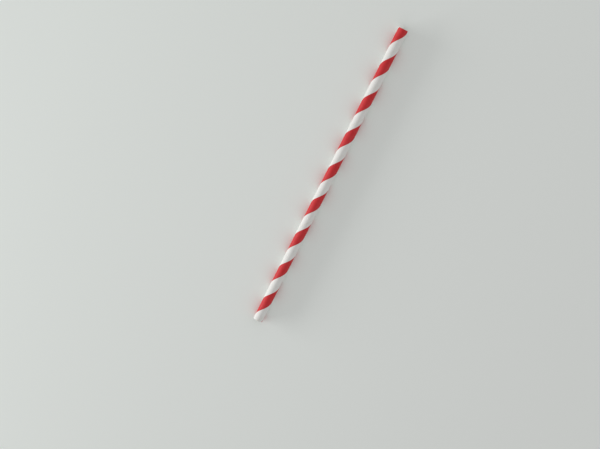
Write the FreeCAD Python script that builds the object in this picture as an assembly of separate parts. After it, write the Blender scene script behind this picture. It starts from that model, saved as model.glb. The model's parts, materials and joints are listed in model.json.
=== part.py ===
"""A paper drinking straw, lying on its side along X as it comes to rest.

The wall is one spirally wound, glued paper tube, cut square at both ends. Its outermost layer is a
strip of paper wound on the slant with its long edges butted together, so the outside stays round. A red
band is printed along one edge of that strip and climbs the straw as a right-handed spiral. The printed
band is a solid of its own, as deep as that layer, let into the white wall flush with its surface, so
that the two colours can be told apart.

A paper straw is light and rolls at a touch. Like any soft roll, this one is pressed flat by a hair's
breadth along the line that it rests on, so that it stays where it lies. All else about it is round.

The origin is on the surface under the middle of the straw. +X points to the drinking end and +Z up.
"""
import FreeCAD, Part
import math
import os

from FreeCAD import Vector

# Driving sizes, in millimetres. Those along the straw are measured parallel to its axis.
straw_length = 197.0
outer_diameter = 6.0
wall_thickness = 0.42
outer_layer_thickness = 0.10
stripe_pitch = 22.7  # one turn of the spiral, along the straw
red_length = 10.8  # the red band's extent along the straw
first_red = 8.6  # from the foot end to where the red first starts on the top of the straw
rest_flat_depth = 0.08  # how deep the wall is pressed flat underneath

# Worked out from the sizes above.
outer_radius = outer_diameter / 2
bore_radius = outer_radius - wall_thickness
backing_radius = outer_radius - outer_layer_thickness
cutter_inner_radius = backing_radius - rest_flat_depth - outer_layer_thickness
cutter_outer_radius = outer_radius + outer_layer_thickness
axis_height = outer_radius - rest_flat_depth
foot_x = -straw_length / 2

# The spiral runs past both ends of the straw. It starts underneath, about half a turn before its top mark.
turns_past_end = 2
spiral_start = foot_x + first_red - (turns_past_end + 0.5) * stripe_pitch
spiral_turns = math.ceil(straw_length / stripe_pitch) + 2 * turns_past_end

axis_direction = Vector(1, 0, 0)


def round_bar(radius, length):
    """A plain round bar about X, centred on the middle of the straw."""
    return Part.makeCylinder(radius, length, Vector(-length / 2, 0, 0), axis_direction)


def pressed_bar(radius, length):
    """The same bar, pressed flat underneath. Every layer of the paper is pressed as deep as the outside."""
    corner = Vector(-length, -outer_diameter, rest_flat_depth - radius - outer_diameter)
    return round_bar(radius, length).cut(Part.makeBox(2 * length, 2 * outer_diameter, outer_diameter, corner))


def spiral_edge(radius, start_x):
    """One turn of a right-handed helix about X. It starts underneath, at the given place along X."""
    turn = Part.makeHelix(stripe_pitch, stripe_pitch, radius)
    turn.rotate(Vector(0, 0, 0), Vector(0, 1, 0), 90)
    turn.translate(Vector(start_x, 0, 0))
    return turn.Edges[0]


def spiral_bar():
    """A bar wound round X, one set of faces to a turn. It reaches past both faces of the outer layer."""
    faces = []
    for turn in range(spiral_turns):
        x = spiral_start + turn * stripe_pitch
        inner_low = spiral_edge(cutter_inner_radius, x)
        inner_high = spiral_edge(cutter_inner_radius, x + red_length)
        outer_low = spiral_edge(cutter_outer_radius, x)
        outer_high = spiral_edge(cutter_outer_radius, x + red_length)
        corners = (inner_low, inner_high, outer_high, outer_low)
        for edge, next_edge in zip(corners, corners[1:] + corners[:1]):
            faces += Part.makeRuledSurface(edge, next_edge).Faces
        if turn == 0:
            faces.append(cap(corners, 0))
    faces.append(cap(corners, -1))
    shell = Part.makeShell(faces)
    shell.sewShape()
    return Part.makeSolid(shell)


def cap(corners, end):
    """The flat face that closes the bar at one end of its four spiral edges."""
    points = [edge.Vertexes[end].Point for edge in corners]
    return Part.Face(Part.makePolygon(points + points[:1]))


def paper_tube():
    """The white wall: a tube with a spiral recess for the red, as deep as its outer layer."""
    wall = pressed_bar(outer_radius, straw_length).cut(round_bar(bore_radius, 2 * straw_length))
    return wall.cut(spiral_bar().cut(pressed_bar(backing_radius, 2 * straw_length)))


def red_stripe():
    """The red printed band of the outer layer, which fills the recess."""
    outer_layer = pressed_bar(outer_radius, straw_length).cut(pressed_bar(backing_radius, 2 * straw_length))
    return outer_layer.common(spiral_bar())


def save(name, solid):
    """Rests the straw on the surface and writes one node."""
    solid.translate(Vector(0, 0, axis_height))
    solid.exportStep("parts/" + name + ".step")
    print(name, "valid", solid.isValid(), "solids", len(solid.Solids), "volume", round(solid.Volume, 2))


os.makedirs("parts", exist_ok=True)
save("paper_tube", paper_tube())
save("red_stripe", red_stripe())
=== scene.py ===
"""The finished look of a paper drinking straw: its wound paper wall, the red printed band and a studio.

The frame is in metres. The straw lies along X on the floor, its foot end at -X and its drinking end at +X.
"""

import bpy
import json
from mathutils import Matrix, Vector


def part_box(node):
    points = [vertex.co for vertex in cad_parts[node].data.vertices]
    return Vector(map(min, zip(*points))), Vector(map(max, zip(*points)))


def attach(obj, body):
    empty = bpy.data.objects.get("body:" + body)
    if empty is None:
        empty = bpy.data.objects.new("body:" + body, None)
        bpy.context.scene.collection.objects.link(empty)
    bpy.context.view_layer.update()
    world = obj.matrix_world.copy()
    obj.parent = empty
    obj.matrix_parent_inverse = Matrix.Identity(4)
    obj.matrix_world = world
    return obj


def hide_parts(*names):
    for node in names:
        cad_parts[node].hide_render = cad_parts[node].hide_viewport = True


bl_info = {
    "name": "Wound Paper Straw",
    "version": (1, 0, 0),
    "blender": (4, 5, 0),
    "location": "View3D > Sidebar > Straw",
    "description": "Builds a spirally wound paper straw with a red printed band, and a studio to see it in",
    "category": "Add Mesh",
}

import json
import math

import bpy
import numpy as np
from bpy.props import FloatProperty, FloatVectorProperty, PointerProperty
from mathutils import Matrix, Vector

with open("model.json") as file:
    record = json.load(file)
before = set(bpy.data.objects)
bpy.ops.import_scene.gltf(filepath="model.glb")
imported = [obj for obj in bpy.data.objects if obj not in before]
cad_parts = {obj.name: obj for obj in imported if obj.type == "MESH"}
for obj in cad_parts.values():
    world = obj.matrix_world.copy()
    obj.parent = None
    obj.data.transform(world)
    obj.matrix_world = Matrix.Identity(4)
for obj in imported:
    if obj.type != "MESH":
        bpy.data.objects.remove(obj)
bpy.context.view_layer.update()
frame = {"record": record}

BODY = "root"
TUBE_NODE = "paper_tube"
STRIPE_NODE = "red_stripe"
MILLIMETRE = 0.001

# Read from the frame: half the straw's length, its radii, the height of its axis and that of its flat.
TUBE_LOW, TUBE_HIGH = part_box(TUBE_NODE)
END_X = (TUBE_HIGH.x - TUBE_LOW.x) / 2
FLAT_HEIGHT = TUBE_LOW.z
MOUNTS = {mount["name"]: mount for mount in frame["record"]["mounts"]}
BORE_RADIUS = MOUNTS["bore"]["dims"]["r_mm"] * MILLIMETRE
OUTER_RADIUS = MOUNTS["outside"]["dims"]["r_mm"] * MILLIMETRE
AXIS_HEIGHT = MOUNTS["bore"]["pos_m"][2]
WALL = OUTER_RADIUS - BORE_RADIUS

# Names that the meshes and the materials share.
STRIP_MAP = "strip_map"
DEPTH_ATTRIBUTE = "wall_depth"

# Slow wandering of the strip's edges and faces: size and wave length in millimetres, and start in radians.
RED_EDGE_WAVES = ((0.016, 31.0, 0.4), (0.009, 7.3, 2.1), (0.005, 2.9, 4.0))
PRINT_EDGE_WAVES = ((0.022, 43.0, 1.3), (0.012, 9.1, 5.2), (0.009, 3.1, 0.6), (0.006, 1.9, 3.3))
WHITE_EDGE_WAVES = ((0.018, 27.0, 3.0), (0.008, 6.1, 0.9), (0.005, 2.6, 2.2))
SKIN_WAVES = ((0.0035, 61.0, 0.2), (0.0025, 17.0, 2.6), (0.0015, 8.3, 4.4))
CUT_WAVES = ((0.006, 19.0, 0.5), (0.004, 6.3, 2.9), (0.003, 2.4, 1.1))

# Steps of the mesh.
ROW_STEP = 0.45 * MILLIMETRE
BORE_ROW_STEP = 1.0 * MILLIMETRE
SKIN_STEP = 0.34 * MILLIMETRE
HIDDEN_STEP = 0.55 * MILLIMETRE

# Columns over a dip, in half widths of it, and round a long edge, in radii of its rounding.
DIP_COLUMNS = np.array([-2.0, -1.4, -1.0, -0.7, -0.42, -0.28, 0.0, 0.28, 0.42, 0.7, 1.0, 1.4, 2.0])
EDGE_COLUMNS = np.array([1.0, 0.55, 0.22, 0.05, 0.0])

# Rows at a cut end: how far in they lie and how deep the rounding is there, in radii of the rounding.
END_ROWS = np.array([0.0, 0.15, 0.5, 1.0])
END_DROPS = np.array([0.6, 0.25, 0.05, 0.0])

# Rings across a cut end, in fine steps from each glue line and from the bore, and how far each is drawn in.
CUT_STEP = 0.012 * MILLIMETRE
FIRST_GLUE_RINGS = (-2.0, -1.0, 0.5, 2.0, 4.0)
SECOND_GLUE_RINGS = (-3.0, -1.0, 0.0, 1.0, 3.0)
BORE_RINGS = (-4.0, -2.0)
DRAWN_IN = np.array([0.0, 0.5, 1.6, 0.6, 0.3, 0.3, 0.7, 1.8, 0.8, 0.4, 0.6, 0.9])
LEAST_RING_STEP = 0.1  # the least distance between two rings, in fine steps
CUT_WANDER_SHARE = 0.5  # the part of the cut's waves that its face follows
BORE_LIP = 0.02 * MILLIMETRE  # from the innermost ring to the first row of the bore
GROOVE_SHOULDER = 0.25  # the part of the groove's half width that its sides take
SHARP_ANGLE = math.radians(38)

# Noise of the paper on the strip map, which is in millimetres.
FIBRE_SIZES = (("Fibre Length", 1.4), ("Fibre Width", 0.07), ("Cloud Size", 2.6))
FIBRE_NOISE = {"Scale": 1.0, "Detail": 3.0, "Roughness": 0.62, "Distortion": 0.6}
CLOUD_NOISE = {"Scale": 1.0, "Detail": 4.0, "Roughness": 0.55, "Distortion": 0.3}
FIBRE_SHARE = 0.7  # of the fibres in the relief, where the clouds are the rest
INK_CLOUD_SIZE = 3.4

# Ranges that pick out the clouds, the fibres and the cut: from low and high, to low and high.
PAPER_CLOUD_RANGE = (0.3, 0.7, 0.0, 1.0)
PAPER_FIBRE_RANGE = (0.3, 0.75, 0.0, 1.0)
INK_CLOUD_RANGE = (0.38, 0.72, 0.0, 0.55)
INK_FIBRE_RANGE = (0.62, 0.8, 0.0, 0.5)
BARE_CUT_RANGE = (0.02, 0.06, 0.0, 1.0)
ROUGHNESS_RANGE = (0.25, 0.75)

# Materials: tints that darken the white, bump, and how far the fibres change the roughness.
CLOUD_TINT = (0.955, 0.95, 0.94, 1.0)
FIBRE_TINT = (0.95, 0.945, 0.93, 1.0)
PAPER_SPECULAR = 0.4
BUMP_HEIGHT = 0.01 * MILLIMETRE
PAPER_BUMP, INK_BUMP = 0.35, 0.25
PAPER_ROUGHNESS_SPREAD, INK_ROUGHNESS_SPREAD = (-0.06, 0.08), (-0.07, 0.10)
GLUE_WIDTH = 0.03  # to either side of a glue line, as a part of the wall
SKIN_DEPTH = 0.03  # how far the white face reaches into the wall, as a part of it
NODE_SPACING = 200  # between two nodes in the editor

# The studio's fixed values.
FLOOR_REACH = 4.0
FLOOR_CELLS = 8
# The floor's colour blends from the lit side into a painted shade on the side away from the key lamp.
FLOOR_FADE = 0.18  # half the width over which the floor's two colours blend
FLOOR_ROUGHNESS, FLOOR_SPECULAR = 0.9, 0.2
CAMERA_PLACE = Vector((0.080813, 0.0, 0.544853))
CAMERA_AIM = Vector((-0.032289, 0.003035, 0.003))
CAMERA_ROLL = math.radians(26.516)
SENSOR_WIDTH = 36.0
CLIP_START, CLIP_END = 0.01, 20.0


def angle_property(name, description, degrees):
    """An angle that the user can change, given in degrees and kept in radians."""
    return FloatProperty(name=name, description=description, default=math.radians(degrees), subtype="ANGLE")


def share_property(name, description, share):
    """A value from nothing to one that the user can change."""
    return FloatProperty(name=name, description=description, default=share, min=0.0, max=1.0)


def power_property(name, description, watts):
    """A lamp's power that the user can change."""
    return FloatProperty(name=name, description=description, default=watts, min=0.0, unit="POWER")


def length_property(name, description, millimetres):
    """A length that the user can change, given in millimetres and kept in metres."""
    return FloatProperty(
        name=name,
        description=description,
        default=millimetres * MILLIMETRE,
        min=0.0,
        precision=5,
        unit="LENGTH",
        subtype="DISTANCE",
    )


def colour_property(name, description, colour):
    """A colour that the user can change, in linear red, green and blue."""
    return FloatVectorProperty(
        name=name, description=description, default=colour, size=3, min=0.0, max=1.0, subtype="COLOR"
    )


class StrawWinding(bpy.types.PropertyGroup):
    """Sizes of the wound strip. Those along the straw are measured parallel to its axis."""

    pitch: length_property("Pitch", "One turn of the spiral, along the straw", 22.7)
    red_length: length_property("Red length", "The red band's extent along the straw", 10.8)
    first_red: length_property("First red", "From the foot end to the red on the top of the straw", 8.6)
    seam_gap: length_property("Seam gap", "Between the strip's butted edges, along the straw", 0.15)
    layer: length_property("Outer layer", "Thickness of the outermost strip of paper", 0.10)
    edge_round: length_property("Edge rounding", "Radius on the long edges of the strip", 0.035)
    edge_droop: length_property("Edge droop", "How far the strip sags towards its long edges", 0.008)
    droop_reach: length_property("Droop reach", "How far from its edges the strip sags", 0.5)
    dip_depth: length_property("Dip depth", "Depth of the dips over the seams of the layers below", 0.014)
    dip_width: length_property("Dip width", "Half width of those dips", 0.35)
    middle_seam: length_property("Middle seam", "From the red's foot edge to the middle layer's seam", 6.9)
    inner_seam: length_property("Inner seam", "From the red's foot edge to the inner layer's seam", 14.6)
    bore_groove: length_property("Bore groove", "Depth of the open seam in the bore", 0.06)
    groove_width: length_property("Groove width", "Half width of the open seam in the bore", 0.11)
    end_round: length_property("End rounding", "Rounding of the outer edge of each cut end", 0.03)
    print_clearance: length_property("Print clearance", "Gap under the printed band", 0.008)


class StrawFinish(bpy.types.PropertyGroup):
    """Colours and finish of the paper and of the ink."""

    paper: colour_property("Paper", "The smooth white face of the strip", (0.80, 0.795, 0.78))
    raw_paper: colour_property("Raw paper", "Paper in the bore and at the cuts", (0.76, 0.735, 0.68))
    glue: colour_property("Glue lines", "Glue between the layers, seen at the cuts", (0.60, 0.55, 0.46))
    ink: colour_property("Red ink", "The printed band", (0.56, 0.0145, 0.019))
    thin_ink: colour_property("Thin ink", "Ink where the fibres show through", (0.62, 0.045, 0.05))
    paper_roughness: share_property("Paper roughness", "Roughness of the white paper", 0.78)
    ink_roughness: share_property("Ink roughness", "Roughness of the printed band", 0.62)


class StrawStudio(bpy.types.PropertyGroup):
    """The floor, the lamps and the camera."""

    floor: colour_property("Floor", "The plain pale floor", (0.90, 0.94, 0.905))
    # Painted shade: the floor's colour on the side away from the key lamp, painted darker than the lit
    # side.
    painted_shade_floor: colour_property("Far floor", "The floor away from the key lamp", (0.84, 0.865, 0.84))
    backdrop: colour_property("Backdrop", "What is seen above the floor", (0.578, 0.604, 0.584))
    sky: FloatProperty(name="Sky", description="Strength of the even light", default=0.55, min=0.0)
    key_power: power_property("Key power", "Power of the large soft lamp", 13.0)
    key_height: angle_property("Key height", "Angle of the key lamp above the floor", 9.0)
    key_side: angle_property("Key side", "Turn of the key lamp from +X to +Y", 112.0)
    key_distance: length_property("Key distance", "From the straw to the key lamp", 1300.0)
    key_width: length_property("Key width", "Width of the key lamp", 1200.0)
    key_tall: length_property("Key tall", "Height of the key lamp", 300.0)
    fill_power: power_property("Fill power", "Power of the weak lamp", 1.2)
    fill_height: angle_property("Fill height", "Angle of the weak lamp above the floor", 35.0)
    fill_distance: length_property("Fill distance", "From the straw to the weak lamp", 1400.0)
    fill_size: length_property("Fill size", "Width and height of the weak lamp", 1000.0)
    lens: FloatProperty(name="Lens", description="Focal length in millimetres", default=54.54)


def first_red_x(winding):
    """Where the red first starts on the top of the straw."""
    return -END_X + winding.first_red


def strip_end(winding):
    """The white long edge of the strip, along the straw from its red long edge."""
    return winding.pitch - winding.seam_gap


def wander(x, waves):
    """A slow wandering value along the straw, in metres.

    Formula: the sum of sines of x, each with its own size, wave length and start.
    """
    size, length, start = (np.array(column)[:, None] for column in zip(*waves))
    flat = np.ravel(x) / MILLIMETRE
    total = (size * np.sin(2 * np.pi * flat / length + start)).sum(axis=0)
    return (total * MILLIMETRE).reshape(np.shape(x))


def winding_angle(x, place, winding):
    """Angle round the straw, from +Y towards +Z, of the spiral line at a place on the strip.

    Formula: a quarter turn at the first red mark, and one more turn for each pitch along the straw, less
    one turn for each pitch of place past the red's foot edge.
    """
    return 2 * np.pi * (0.25 + (x - first_red_x(winding) - place) / winding.pitch)


def on_wall(x, radius, place, winding):
    """Points of the wall in the frame.

    Formula: x stays, and the radius at the winding angle gives y and the height over the axis. No point
    is lower than the flat that the straw rests on.
    """
    angle = winding_angle(x, place, winding)
    height = np.maximum(AXIS_HEIGHT + radius * np.sin(angle), FLAT_HEIGHT)
    return np.stack((x, radius * np.cos(angle), height), axis=-1)


def strip_coordinates(x, place, past, radius, winding):
    """Places on the paper strip in millimetres: across it and along it.

    Formula: the unrolled wall is a plane with x one way and radius times angle the other. Turning it by
    the slope of the winding lays the strip's own length along its second axis. Past adds what lies beyond
    an edge, as on a cut end.
    """
    slope = math.atan2(winding.pitch, 2 * math.pi * radius)
    angle = winding_angle(x, place, winding)
    across = place * math.cos(slope) + 0 * x
    along = radius * angle * math.cos(slope) + x * math.sin(slope) + past
    return np.stack((across, along), axis=-1) / MILLIMETRE


def wandering_place(place, x, winding):
    """The places of the columns after the strip's edges have wandered.

    Formula: place plus three wanders, each weighted by a hat that is one at its own edge (the red long
    edge, the print edge or the white long edge) and falls evenly to nothing at the next.
    """
    edges = (0.0, winding.red_length, strip_end(winding))
    moved = place + np.zeros_like(x)
    for number, waves in enumerate((RED_EDGE_WAVES, PRINT_EDGE_WAVES, WHITE_EDGE_WAVES)):
        hat = np.interp(place, edges, np.eye(3)[number])
        moved = moved + hat * wander(x, waves)
    return moved


def skin_drop(place, x, winding):
    """How far the strip's outer face lies under the straw's full radius.

    Formula: a quarter circle at each long edge, plus a sag that fades exponentially away from them, plus
    a bell over each seam of the layers below, plus a slow wander that never rises above zero.
    """
    ends = np.stack((wander(x, RED_EDGE_WAVES), strip_end(winding) + wander(x, WHITE_EDGE_WAVES)))
    inside = np.clip(np.minimum(place - ends[0], ends[1] - place), 0, None)
    short = np.clip(winding.edge_round - inside, 0, None)
    drop = winding.edge_round - np.sqrt(winding.edge_round**2 - short**2)
    drop += winding.edge_droop * np.exp(-inside / winding.droop_reach)
    for seam in (winding.middle_seam, winding.inner_seam):
        drop += winding.dip_depth * np.exp(-(((place - seam) / winding.dip_width) ** 2))
    most = sum(size for size, length, start in SKIN_WAVES) * MILLIMETRE
    return drop + most - wander(x + place, SKIN_WAVES)


def stretch(low, high, step, winding):
    """Places from low to high for columns: even steps, and close ones over the dips of the lower seams."""
    even = np.linspace(low, high, 2 + int((high - low) / step))
    for seam in (winding.middle_seam, winding.inner_seam):
        if low < seam < high:
            fine = seam + DIP_COLUMNS * winding.dip_width
            even = np.concatenate((even[(even < fine[0]) | (even > fine[-1])], fine))
    return np.unique(even)


def rounded(edge, direction, winding):
    """Places for columns round a long edge of the strip, from inside it to the edge itself."""
    return np.sort(edge + direction * EDGE_COLUMNS * winding.edge_round)


def lengthwise(winding, step):
    """Rows along the straw and how far the outer edge of each cut end is rounded off at them."""
    near = winding.end_round * END_ROWS
    drop = winding.end_round * END_DROPS
    inner = END_X - winding.end_round
    middle = np.linspace(-inner, inner, 2 + int(2 * inner / step))[1:-1]
    x = np.concatenate((-END_X + near, middle, (END_X - near)[::-1]))
    return x[:, None], np.concatenate((drop, np.zeros(len(middle)), drop[::-1]))[:, None]


def wall_columns(winding):
    """Places of the wall's columns round one turn, and one for those on the skin and nought on the floor.

    In order: the floor under the red, the white face up to its rounded edge, and the foot of that edge.
    """
    under = stretch(0, winding.red_length, HIDDEN_STEP, winding)
    edge = rounded(strip_end(winding), -1, winding)
    white = np.concatenate((stretch(winding.red_length, edge[0], SKIN_STEP, winding)[:-1], edge))
    place = np.concatenate((under, white, edge[-1:]))
    skin = np.concatenate((np.zeros(len(under)), np.ones(len(white)), [0.0]))
    return place, skin


def glue_depths(winding):
    """How deep in the wall the two glue lines lie: under the outer layer, and halfway on to the bore."""
    return winding.layer, (winding.layer + WALL) / 2


def cut_face(side, x, radius, place, winding):
    """Rings across one cut end, from its outer edge to the bore: their x and their radius.

    Formula: each ring has a set depth into the wall, but lies deeper than the outer edge and the ring
    before it. Its x is drawn in by a little, most at the glue lines, and wanders round the straw.
    """
    first, second = glue_depths(winding)
    rings = ((first, FIRST_GLUE_RINGS), (second, SECOND_GLUE_RINGS), (WALL, BORE_RINGS))
    depths = np.concatenate([middle + CUT_STEP * np.array(steps) for middle, steps in rings])
    start = OUTER_RADIUS - radius
    least = start + LEAST_RING_STEP * CUT_STEP * (1 + np.arange(len(depths)))[:, None]
    depth = np.maximum(depths[:, None], least)
    around = wander(winding_angle(x, place, winding) * OUTER_RADIUS, CUT_WAVES)
    uneven = sum(size for size, length, start in CUT_WAVES) * MILLIMETRE - around
    drawn_in = DRAWN_IN[:, None] * CUT_STEP + CUT_WANDER_SHARE * uneven
    return x - side * drawn_in, OUTER_RADIUS - depth


def bore_radii(place, winding):
    """Radius of the bore, with the open seam of the inner layer as a groove.

    Formula: the bore's radius, plus the groove's depth times a ramp that is nought outside its width.
    """
    inside = winding.groove_width - np.abs(place - winding.inner_seam)
    ramp = inside / (GROOVE_SHOULDER * winding.groove_width)
    return BORE_RADIUS + winding.bore_groove * np.clip(ramp, 0, 1)


def wall_runs(winding):
    """The wall as four runs of rings that close on each other: skin, drinking end, bore and foot end.

    Each run has x, radius, place on the strip, how far its map lies past an edge, and the map's radius.
    """
    place, skin = wall_columns(winding)
    x, end_drop = lengthwise(winding, ROW_STEP)
    x = x + np.zeros(len(place))
    floor_radius = OUTER_RADIUS - winding.layer
    moved = wandering_place(place, x, winding)
    outer = OUTER_RADIUS - skin_drop(moved, x, winding) - end_drop
    outer = np.where(skin > 0, outer, floor_radius)
    inner_rows = np.linspace(END_X, -END_X, 1 + int(2 * END_X / BORE_ROW_STEP))[:, None]
    bore_x = inner_rows + np.zeros(len(place))
    bore = bore_radii(place, winding) + np.zeros_like(bore_x)
    bore_moved = wandering_place(place, bore_x, winding)
    high_x, high_radius = cut_face(1, x[-1], outer[-1], moved[-1], winding)
    low_x, low_radius = cut_face(-1, x[0], outer[0], moved[0], winding)
    bore_x[0] = high_x[-1] - BORE_LIP
    bore_x[-1] = low_x[-1] + BORE_LIP
    runs = [(x, outer, moved, 0 * x, OUTER_RADIUS)]
    top_x = np.concatenate((x[-1:], high_x, bore_x[:1]))
    top_radius = np.concatenate((outer[-1:], high_radius, bore[:1]))
    runs.append((top_x, top_radius, moved[-1] + 0 * top_x, OUTER_RADIUS - top_radius, OUTER_RADIUS))
    runs.append((bore_x, bore, bore_moved, 0 * bore_x, BORE_RADIUS))
    foot_x = np.concatenate((bore_x[-1:], low_x[::-1], x[:1]))
    foot_radius = np.concatenate((bore[-1:], low_radius[::-1], outer[:1]))
    runs.append((foot_x, foot_radius, moved[0] + 0 * foot_x, foot_radius - OUTER_RADIUS, OUTER_RADIUS))
    return runs


def repeat_first(values, step=0.0):
    """The same columns with the first one again at the end, raised by step."""
    return np.concatenate((values, values[:, :1] + step), axis=1)


def ring_faces(rows, columns, turned):
    """Corners of the quads between rings that close both ways, facing outwards.

    Formula: corner (i, j), then the next row, then the next row and column, then the next column. Where
    turned is set, the order starts one corner later, so that the quad's split follows the spiral.
    """
    i, j = np.meshgrid(np.arange(rows), np.arange(columns), indexing="ij")
    next_i, next_j = (i + 1) % rows, (j + 1) % columns
    row, next_row = i * columns, next_i * columns
    corners = np.stack((row + j, next_row + j, next_row + next_j, row + next_j), axis=-1)
    corners[turned] = np.roll(corners[turned], -1, axis=-1)
    return corners.reshape(-1, 4)


def make_piece(name, points, faces, uv, depth, node, material):
    """Puts the arrays into a mesh, checks it, and hangs the piece in the frame in place of its node."""
    mesh = bpy.data.meshes.new(name)
    mesh.vertices.add(len(points))
    mesh.vertices.foreach_set("co", points.ravel())
    mesh.loops.add(faces.size)
    mesh.loops.foreach_set("vertex_index", faces.ravel())
    mesh.polygons.add(len(faces))
    mesh.polygons.foreach_set("loop_start", np.arange(0, faces.size, 4))
    mesh.polygons.foreach_set("use_smooth", np.ones(len(faces), bool))
    mesh.update(calc_edges=True)
    mesh.uv_layers.new(name=STRIP_MAP).data.foreach_set("uv", uv.astype(np.float32).ravel())
    mesh.attributes.new(DEPTH_ATTRIBUTE, "FLOAT", "POINT").data.foreach_set("value", depth.ravel())
    mesh.set_sharp_from_angle(angle=SHARP_ANGLE)
    if mesh.validate():
        raise RuntimeError(f"the mesh of {name} has faults")
    mesh.materials.append(material)
    piece = bpy.data.objects.new(name, mesh)
    bpy.context.scene.collection.objects.link(piece)
    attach(piece, BODY)
    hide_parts(node)
    return piece


def build_wall(winding, finish):
    """Makes the white wall: rings whose columns follow the spiral, closed over both ends."""
    runs = wall_runs(winding)
    points, depths, maps, turned = [], [], [], []
    for (x, radius, place, past, map_radius), is_bore in zip(runs, (False, False, True, False)):
        points.append(on_wall(x, radius, place, winding)[:-1])
        depths.append(((OUTER_RADIUS - radius) / WALL)[:-1])
        wide_x, wide_past = repeat_first(x), repeat_first(past)
        wide_place = repeat_first(place, winding.pitch)
        uv = strip_coordinates(wide_x, wide_place, wide_past, map_radius, winding)
        quads = np.stack((uv[:-1, :-1], uv[1:, :-1], uv[1:, 1:], uv[:-1, 1:]), axis=2)
        if is_bore:
            quads = np.roll(quads, -1, axis=2)
        turned.append(np.full(len(x) - 1, is_bore))
        maps.append(quads.reshape(-1, 2))
    points, depths, turned = (np.concatenate(parts) for parts in (points, depths, turned))
    faces = ring_faces(points.shape[0], points.shape[1], turned)
    material = paper_material(finish, winding)
    uv = np.concatenate(maps)
    return make_piece(
        "wound_paper_wall", points.reshape(-1, 3), faces, uv, depths, TUBE_NODE, material
    )


def build_print(winding, finish):
    """Makes the red band: a flat profile carried along the spiral, with a flat cap at each cut end.

    Formula: the profile runs along the band's outer face, down its print edge, back along its underside
    and up its long edge. Every row of it lies square across the straw, as the wall's rows do.
    """
    face = stretch(0, winding.red_length, SKIN_STEP, winding)[1:]
    over = np.unique(np.concatenate((rounded(0.0, 1, winding), face)))
    x, end_drop = lengthwise(winding, ROW_STEP)
    wide = x + np.zeros(len(over))
    moved = wandering_place(over, wide, winding)
    outer = OUTER_RADIUS - skin_drop(moved, wide, winding) - end_drop
    floor = OUTER_RADIUS - winding.layer + winding.print_clearance
    place = np.concatenate((moved, moved[:, ::-1]), axis=1)
    radius = np.concatenate((outer, floor + 0 * outer), axis=1)
    across = x + np.zeros(2 * len(over))
    points = on_wall(across, radius, place, winding)
    rows, columns = radius.shape
    faces = ring_faces(rows, columns, np.zeros(rows, bool))[: (rows - 1) * columns]
    k = np.arange(len(over) - 1)
    under = columns - 1 - k
    foot = np.stack((k, k + 1, under - 1, under), axis=-1)
    top = foot[:, ::-1] + (rows - 1) * columns
    faces = np.concatenate((faces, foot, top))
    uv = strip_coordinates(across, place, OUTER_RADIUS - radius, OUTER_RADIUS, winding)
    uv[..., 0] += (OUTER_RADIUS - radius) / MILLIMETRE
    depth = (OUTER_RADIUS - radius) / WALL
    depth[:, : len(over)] = 0.0
    material = ink_material(finish)
    uv = uv.reshape(-1, 2)[faces.ravel()]
    return make_piece(
        "red_print_band", points.reshape(-1, 3), faces, uv, depth, STRIPE_NODE, material
    )


def add_node(tree, kind, place, inputs=(), **settings):
    """Adds a node at a place in the tree, sets its options, and fills or links its inputs."""
    node = tree.nodes.new(kind)
    node.location = (place[0] * NODE_SPACING, place[1] * NODE_SPACING)
    for name, value in settings.items():
        setattr(node, name, value)
    for key, value in dict(inputs).items():
        if isinstance(value, bpy.types.NodeSocket):
            tree.links.new(value, node.inputs[key])
        else:
            node.inputs[key].default_value = value
    return node


def mix_colours(tree, place, share, first, second):
    """Blends two colours, given as sockets or as linear red, green and blue."""
    node = add_node(tree, "ShaderNodeMix", place, data_type="RGBA")
    for socket, value in ((node.inputs[0], share), (node.inputs[6], first), (node.inputs[7], second)):
        if isinstance(value, bpy.types.NodeSocket):
            tree.links.new(value, socket)
        else:
            socket.default_value = (*value, 1.0)
    return node.outputs[2]


def spread(tree, place, value, low, high, new_low, new_high):
    """Carries a value from one range to another, held inside the new one."""
    inputs = {"Value": value, "From Min": low, "From Max": high, "To Min": new_low, "To Max": new_high}
    return add_node(tree, "ShaderNodeMapRange", place, inputs, clamp=True).outputs[0]


def calculate(tree, place, operation, first, second):
    """One step of arithmetic on two values or sockets."""
    return add_node(tree, "ShaderNodeMath", place, {0: first, 1: second}, operation=operation).outputs[0]


def darken(tree, place, share, colour, tint):
    """Multiplies a colour by a tint, by a share."""
    node = add_node(tree, "ShaderNodeMix", place, data_type="RGBA", blend_type="MULTIPLY")
    tree.links.new(share, node.inputs[0])
    tree.links.new(colour, node.inputs[6])
    node.inputs[7].default_value = tint
    return node.outputs[2]


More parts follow.
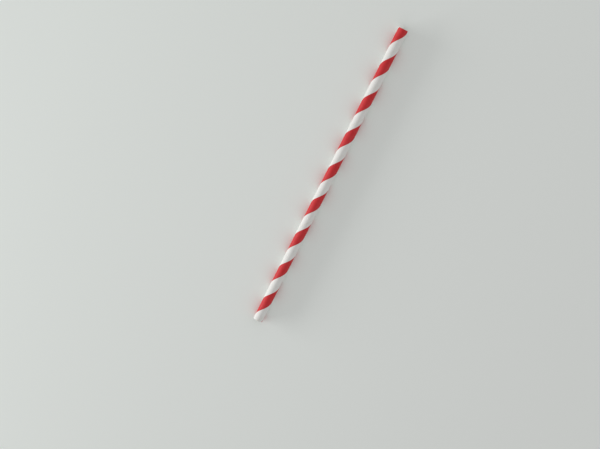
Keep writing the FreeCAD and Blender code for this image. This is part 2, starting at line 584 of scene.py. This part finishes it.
def fibre_group():
    """Paper's fibres and clouds on the strip map. Fibres lie along the strip, as paper is wound."""
    name = "paper_fibres"
    if name in bpy.data.node_groups:
        return bpy.data.node_groups[name]
    tree = bpy.data.node_groups.new(name, "ShaderNodeTree")
    tree.interface.new_socket("Strip Map", in_out="INPUT", socket_type="NodeSocketVector")
    for label, value in FIBRE_SIZES:
        socket = tree.interface.new_socket(label, in_out="INPUT", socket_type="NodeSocketFloat")
        socket.default_value = value
    for label in ("Fibres", "Clouds", "Height"):
        tree.interface.new_socket(label, in_out="OUTPUT", socket_type="NodeSocketFloat")
    source = add_node(tree, "NodeGroupInput", (0, 0)).outputs
    sizes = {"X": source["Fibre Width"], "Y": source["Fibre Length"], "Z": 1.0}
    fibre_size = add_node(tree, "ShaderNodeCombineXYZ", (1, 1), sizes).outputs[0]
    inputs = {0: source["Strip Map"], 1: fibre_size}
    fibre_at = add_node(tree, "ShaderNodeVectorMath", (2, 1), inputs, operation="DIVIDE").outputs[0]
    noise = {"Vector": fibre_at, **FIBRE_NOISE}
    fibres = add_node(tree, "ShaderNodeTexNoise", (3, 1), noise).outputs["Fac"]
    sizes = {"X": source["Cloud Size"], "Y": source["Cloud Size"], "Z": 1.0}
    cloud_size = add_node(tree, "ShaderNodeCombineXYZ", (1, -1), sizes).outputs[0]
    inputs = {0: source["Strip Map"], 1: cloud_size}
    cloud_at = add_node(tree, "ShaderNodeVectorMath", (2, -1), inputs, operation="DIVIDE").outputs[0]
    noise = {"Vector": cloud_at, **CLOUD_NOISE}
    clouds = add_node(tree, "ShaderNodeTexNoise", (3, -1), noise).outputs["Fac"]
    fibre_part = calculate(tree, (4, 1), "MULTIPLY", fibres, FIBRE_SHARE)
    cloud_part = calculate(tree, (4, -1), "MULTIPLY", clouds, 1.0 - FIBRE_SHARE)
    height = calculate(tree, (5, 0), "ADD", fibre_part, cloud_part)
    add_node(tree, "NodeGroupOutput", (6, 0), {"Fibres": fibres, "Clouds": clouds, "Height": height})
    return tree


def new_material(name):
    """A material with only its output, and the strip map and the depth into the wall to read."""
    material = bpy.data.materials.new(name)
    material.use_nodes = True
    tree = material.node_tree
    tree.nodes.clear()
    strip = add_node(tree, "ShaderNodeUVMap", (0, 0), uv_map=STRIP_MAP).outputs[0]
    depth = add_node(tree, "ShaderNodeAttribute", (0, 2), attribute_name=DEPTH_ATTRIBUTE).outputs["Fac"]
    return material, tree, strip, depth


def close_material(tree, colour, roughness, height, strength):
    """Ends a material in one shader with its bump."""
    inputs = {"Height": height, "Strength": strength, "Distance": BUMP_HEIGHT}
    bump = add_node(tree, "ShaderNodeBump", (6, -1), inputs).outputs[0]
    inputs = {"Base Color": colour, "Roughness": roughness, "Normal": bump}
    inputs["Specular IOR Level"] = PAPER_SPECULAR
    shader = add_node(tree, "ShaderNodeBsdfPrincipled", (7, 0), inputs).outputs[0]
    add_node(tree, "ShaderNodeOutputMaterial", (9, 0), {"Surface": shader})


def cut_colours(tree, depth, finish, winding):
    """The colours met going into the wall: the white face, raw paper, and a glue line under each layer."""
    ramp = add_node(tree, "ShaderNodeValToRGB", (2, 3), {"Fac": depth})
    white, raw, glue = ((*colour, 1.0) for colour in (finish.paper, finish.raw_paper, finish.glue))
    stops = ((0.0, white), (SKIN_DEPTH, white), (2 * SKIN_DEPTH, raw))
    for line in (distance / WALL for distance in glue_depths(winding)):
        stops += ((line - GLUE_WIDTH, raw), (line, glue), (line + GLUE_WIDTH, raw))
    stops += ((1.0, raw),)
    elements = ramp.color_ramp.elements
    while len(elements) < len(stops):
        elements.new(0.5)
    for element, (position, colour) in zip(elements, stops):
        element.position = position
        element.color = colour
    return ramp.outputs[0]


def paper_material(finish, winding):
    """White paper: a smooth face with faint clouds and fibres, raw in the bore and layered at the cuts."""
    material, tree, strip, depth = new_material("wound_white_paper")
    fibre = add_node(tree, "ShaderNodeGroup", (2, 0), node_tree=fibre_group())
    tree.links.new(strip, fibre.inputs["Strip Map"])
    base = cut_colours(tree, depth, finish, winding)
    clouds = spread(tree, (3, 1), fibre.outputs["Clouds"], *PAPER_CLOUD_RANGE)
    fibres = spread(tree, (3, 0), fibre.outputs["Fibres"], *PAPER_FIBRE_RANGE)
    clouded = darken(tree, (4, 2), clouds, base, CLOUD_TINT)
    colour = darken(tree, (5, 2), fibres, clouded, FIBRE_TINT)
    low, high = (finish.paper_roughness + change for change in PAPER_ROUGHNESS_SPREAD)
    roughness = spread(tree, (5, 0), fibre.outputs["Fibres"], *ROUGHNESS_RANGE, low, high)
    close_material(tree, colour, roughness, fibre.outputs["Height"], PAPER_BUMP)
    return material


def ink_material(finish):
    """Red ink on the strip's face: thinner in clouds, with fibres showing through, raw at the cuts."""
    material, tree, strip, depth = new_material("red_ink_on_paper")
    fibre = add_node(tree, "ShaderNodeGroup", (2, 0), node_tree=fibre_group())
    tree.links.new(strip, fibre.inputs["Strip Map"])
    fibre.inputs["Cloud Size"].default_value = INK_CLOUD_SIZE
    thin = spread(tree, (3, 1), fibre.outputs["Clouds"], *INK_CLOUD_RANGE)
    specks = spread(tree, (3, 0), fibre.outputs["Fibres"], *INK_FIBRE_RANGE)
    either = calculate(tree, (4, 1), "MAXIMUM", thin, specks)
    ink = mix_colours(tree, (5, 1), either, finish.ink, finish.thin_ink)
    bare = spread(tree, (4, 3), depth, *BARE_CUT_RANGE)
    colour = mix_colours(tree, (6, 2), bare, ink, finish.raw_paper)
    low, high = (finish.ink_roughness + change for change in INK_ROUGHNESS_SPREAD)
    roughness = spread(tree, (5, 0), fibre.outputs["Fibres"], *ROUGHNESS_RANGE, low, high)
    close_material(tree, colour, roughness, fibre.outputs["Height"], INK_BUMP)
    return material


def floor_material(studio):
    """A plain pale floor with painted shade: its colour is a little darker on the side away from the key
    lamp.
    """
    material = bpy.data.materials.new("plain_floor")
    material.use_nodes = True
    tree = material.node_tree
    tree.nodes.clear()
    place = add_node(tree, "ShaderNodeTexCoord", (0, 0)).outputs["Object"]
    across = add_node(tree, "ShaderNodeSeparateXYZ", (1, 0), {0: place}).outputs["Y"]
    # Painted shade: the floor's colour blends into the darker colour towards -Y, the side away from the key
    # lamp.
    share = spread(tree, (2, 0), across, FLOOR_FADE, -FLOOR_FADE, 0.0, 1.0)
    colour = mix_colours(tree, (3, 0), share, studio.floor, studio.painted_shade_floor)
    inputs = {"Base Color": colour, "Roughness": FLOOR_ROUGHNESS, "Specular IOR Level": FLOOR_SPECULAR}
    shader = add_node(tree, "ShaderNodeBsdfPrincipled", (4, 0), inputs).outputs[0]
    add_node(tree, "ShaderNodeOutputMaterial", (5, 0), {"Surface": shader})
    return material


def build_floor(studio):
    """A wide flat floor at the height on which the straw rests."""
    lines = FLOOR_CELLS + 1
    line = np.linspace(-FLOOR_REACH, FLOOR_REACH, lines)
    x, y = np.meshgrid(line, line, indexing="ij")
    points = np.stack((x, y, 0 * x), axis=-1).reshape(-1, 3)
    cell = np.arange(FLOOR_CELLS)
    corner = np.ravel(cell[:, None] * lines + cell)
    faces = np.stack((corner, corner + lines, corner + lines + 1, corner + 1), axis=-1)
    mesh = bpy.data.meshes.new("floor")
    mesh.from_pydata(points, [], faces.tolist())
    mesh.materials.append(floor_material(studio))
    floor = bpy.data.objects.new("floor", mesh)
    bpy.context.scene.collection.objects.link(floor)


def build_world(studio):
    """Even grey light, seen by the camera as the backdrop's colour."""
    world = bpy.data.worlds.new("studio_world")
    bpy.context.scene.world = world
    world.use_nodes = True
    tree = world.node_tree
    tree.nodes.clear()
    rays = add_node(tree, "ShaderNodeLightPath", (0, 1)).outputs
    inputs = {"Color": (1.0, 1.0, 1.0, 1.0), "Strength": studio.sky}
    light = add_node(tree, "ShaderNodeBackground", (1, 0), inputs).outputs[0]
    inputs = {"Color": (*studio.backdrop, 1.0), "Strength": 1.0}
    seen = add_node(tree, "ShaderNodeBackground", (1, -1), inputs).outputs[0]
    inputs = {0: rays["Is Camera Ray"], 1: light, 2: seen}
    both = add_node(tree, "ShaderNodeMixShader", (2, 0), inputs).outputs[0]
    add_node(tree, "ShaderNodeOutputWorld", (3, 0), {"Surface": both})


def add_lamp(name, power, size, side, height, distance):
    """A soft lamp aimed at the straw, placed by its turn round it and its angle above the floor."""
    lamp = bpy.data.lights.new(name, "AREA")
    lamp.energy = power
    lamp.shape = "RECTANGLE"
    lamp.size, lamp.size_y = size
    level = math.cos(height)
    away = Vector((level * math.cos(side), level * math.sin(side), math.sin(height)))
    holder = bpy.data.objects.new(name, lamp)
    holder.location = away * distance
    holder.rotation_euler = (-away).to_track_quat("-Z", "Y").to_euler()
    bpy.context.scene.collection.objects.link(holder)


def build_camera(studio):
    """The camera above the drinking end, looking down on the straw and turned about its line of sight."""
    back = (CAMERA_PLACE - CAMERA_AIM).normalized()
    side = Vector((1.0, 0.0, 0.0)).cross(back).normalized()
    turn = Matrix.Rotation(CAMERA_ROLL, 3, back) @ Matrix((side, back.cross(side), back)).transposed()
    camera = bpy.data.cameras.new("camera")
    camera.lens = studio.lens
    camera.sensor_width = SENSOR_WIDTH
    camera.clip_start = CLIP_START
    camera.clip_end = CLIP_END
    holder = bpy.data.objects.new("camera", camera)
    holder.location = CAMERA_PLACE
    holder.rotation_euler = turn.to_euler()
    bpy.context.scene.collection.objects.link(holder)
    bpy.context.scene.camera = holder


class STRAW_OT_build_wall(bpy.types.Operator):
    """Builds the white wound wall in place of the plain tube"""

    bl_idname = "straw.build_wall"
    bl_label = "Build Wound Wall"

    def execute(self, context):
        build_wall(context.scene.straw_winding, context.scene.straw_finish)
        return {"FINISHED"}


class STRAW_OT_build_print(bpy.types.Operator):
    """Builds the red printed band in place of the plain stripe"""

    bl_idname = "straw.build_print"
    bl_label = "Build Red Band"

    def execute(self, context):
        build_print(context.scene.straw_winding, context.scene.straw_finish)
        return {"FINISHED"}


class STRAW_OT_build_studio(bpy.types.Operator):
    """Builds the floor, the lamps, the world and the camera"""

    bl_idname = "straw.build_studio"
    bl_label = "Build Studio"

    def execute(self, context):
        studio = context.scene.straw_studio
        build_floor(studio)
        build_world(studio)
        side, size = studio.key_side, (studio.key_width, studio.key_tall)
        add_lamp("key", studio.key_power, size, side, studio.key_height, studio.key_distance)
        side, size = studio.key_side + math.pi, (studio.fill_size, studio.fill_size)
        add_lamp("fill", studio.fill_power, size, side, studio.fill_height, studio.fill_distance)
        build_camera(studio)
        context.scene.view_settings.view_transform = "Standard"
        return {"FINISHED"}


class VIEW3D_PT_straw(bpy.types.Panel):
    """Sizes, finish and studio of the straw"""

    bl_label = "Paper Straw"
    bl_space_type = "VIEW_3D"
    bl_region_type = "UI"
    bl_category = "Straw"

    def draw(self, context):
        for group in (context.scene.straw_winding, context.scene.straw_finish, context.scene.straw_studio):
            box = self.layout.box()
            for name in group.bl_rna.properties.keys():
                if name not in {"rna_type", "name"}:
                    box.prop(group, name)
        for operator in OPERATORS:
            self.layout.operator(operator.bl_idname)


GROUPS = {"straw_winding": StrawWinding, "straw_finish": StrawFinish, "straw_studio": StrawStudio}
OPERATORS = (STRAW_OT_build_wall, STRAW_OT_build_print, STRAW_OT_build_studio)


def register():
    """Registers the settings, the operators and the panel."""
    for name, group in GROUPS.items():
        bpy.utils.register_class(group)
        setattr(bpy.types.Scene, name, PointerProperty(type=group))
    for part in (*OPERATORS, VIEW3D_PT_straw):
        bpy.utils.register_class(part)


def unregister():
    """Takes the panel, the operators and the settings away again."""
    for part in (VIEW3D_PT_straw, *reversed(OPERATORS)):
        bpy.utils.unregister_class(part)
    for name, group in GROUPS.items():
        delattr(bpy.types.Scene, name)
        bpy.utils.unregister_class(group)


def main():
    """Registers the add-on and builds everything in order."""
    register()
    bpy.ops.straw.build_wall()
    bpy.ops.straw.build_print()
    bpy.ops.straw.build_studio()


if __name__ == "__main__":
    main()
